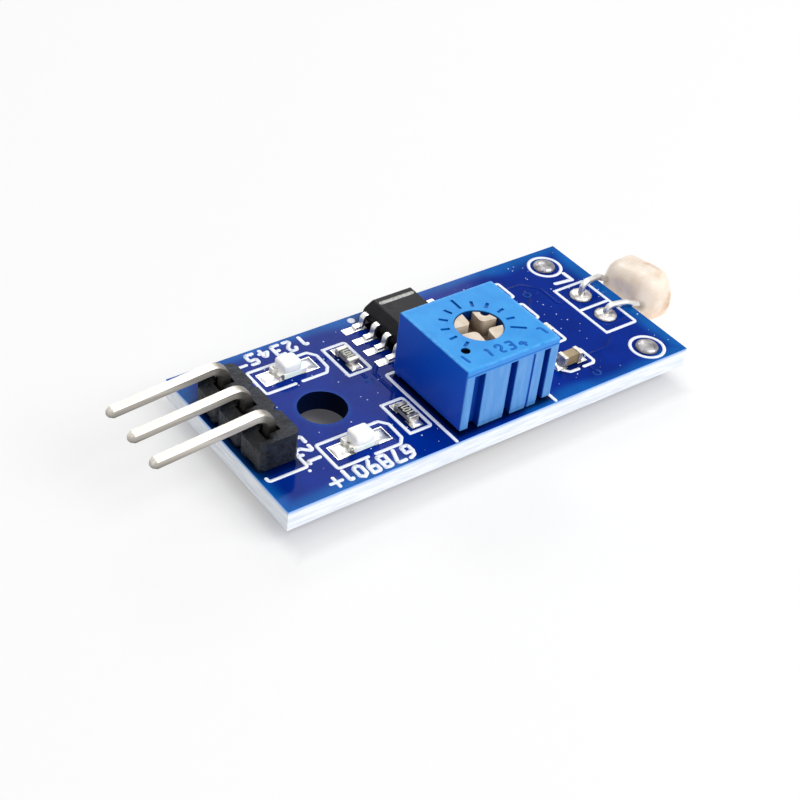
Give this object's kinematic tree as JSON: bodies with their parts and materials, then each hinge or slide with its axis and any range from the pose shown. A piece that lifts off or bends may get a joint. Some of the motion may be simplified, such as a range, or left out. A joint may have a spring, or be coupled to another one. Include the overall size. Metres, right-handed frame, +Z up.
{
  "type": "light sensor module",
  "caption": "Small circuit board with a light-dependent resistor, right-angle pin header, comparator chip, adjustable trimmer and chip LEDs.",
  "frame": {"origin": "centre of the whole module's plan, on the surface that the cut leads under the board stand on", "axes": "+X from the header pins towards the sensor, +Z up out of the component side, +Y across the board from the trimmer towards the comparator"},
  "size_m": [0.0414, 0.014, 0.0076],
  "materials": {
    "blue_solder_mask": "satin blue solder mask on glass-fibre laminate, white edges",
    "black_nylon": "moulded black nylon",
    "tinned_pin": "tin-plated brass",
    "solder": "bright tin solder",
    "black_epoxy": "moulded black epoxy",
    "tinned_lead": "tin-plated copper",
    "blue_plastic": "moulded light blue plastic",
    "cream_plastic": "moulded cream plastic",
    "brass_spring": "rolled spring strip",
    "white_ceramic": "fired alumina",
    "sensor_resin": "glossy cream epoxy coating",
    "led_laminate": "white laminate",
    "clear_resin": "milky clear epoxy",
    "tan_ceramic": "tan ceramic",
    "dark_ceramic": "black glaze on ceramic"
  },
  "bodies": {
    "module": {"pcb": "blue_solder_mask", "header_housing": "black_nylon", "header_pin_1": "tinned_pin", "header_pin_2": "tinned_pin", "header_pin_3": "tinned_pin", "header_joint_1": "solder", "header_joint_2": "solder", "header_joint_3": "solder", "comparator_body": "black_epoxy", "comparator_lead_1": "tinned_lead", "comparator_lead_2": "tinned_lead", "comparator_lead_3": "tinned_lead", "comparator_lead_4": "tinned_lead", "comparator_lead_5": "tinned_lead", "comparator_lead_6": "tinned_lead", "comparator_lead_7": "tinned_lead", "comparator_lead_8": "tinned_lead", "trimmer_housing": "blue_plastic", "trimmer_element": "white_ceramic", "trimmer_pin_1": "tinned_lead", "trimmer_pin_2": "tinned_lead", "trimmer_pin_3": "tinned_lead", "trimmer_joint_1": "solder", "trimmer_joint_2": "solder", "trimmer_joint_3": "solder", "sensor_body": "sensor_resin", "sensor_lead_1": "tinned_lead", "sensor_lead_2": "tinned_lead", "sensor_joint_1": "solder", "sensor_joint_2": "solder", "corner_joint_1": "solder", "corner_joint_2": "solder", "led_1_substrate": "led_laminate", "led_1_terminal_1": "tinned_lead", "led_1_terminal_2": "tinned_lead", "led_1_lens": "clear_resin", "led_2_substrate": "led_laminate", "led_2_terminal_1": "tinned_lead", "led_2_terminal_2": "tinned_lead", "led_2_lens": "clear_resin", "resistor_1_body": "dark_ceramic", "resistor_1_cap_1": "tinned_lead", "resistor_1_cap_2": "tinned_lead", "resistor_2_body": "dark_ceramic", "resistor_2_cap_1": "tinned_lead", "resistor_2_cap_2": "tinned_lead", "resistor_3_body": "dark_ceramic", "resistor_3_cap_1": "tinned_lead", "resistor_3_cap_2": "tinned_lead", "resistor_4_body": "dark_ceramic", "resistor_4_cap_1": "tinned_lead", "resistor_4_cap_2": "tinned_lead", "capacitor_1_body": "tan_ceramic", "capacitor_1_cap_1": "tinned_lead", "capacitor_1_cap_2": "tinned_lead", "capacitor_2_body": "tan_ceramic", "capacitor_2_cap_1": "tinned_lead", "capacitor_2_cap_2": "tinned_lead"},
    "rotor": {"trimmer_rotor": "cream_plastic", "trimmer_wiper": "brass_spring"}
  },
  "joints": [
    {"name": "trimmer_turn", "type": "hinge", "parent": "module", "child": "rotor", "pos_m": [0.0021, -0.00293, 0.0068], "axis": [0, 0, 1], "range_deg": [-72, 168]}
  ]
}
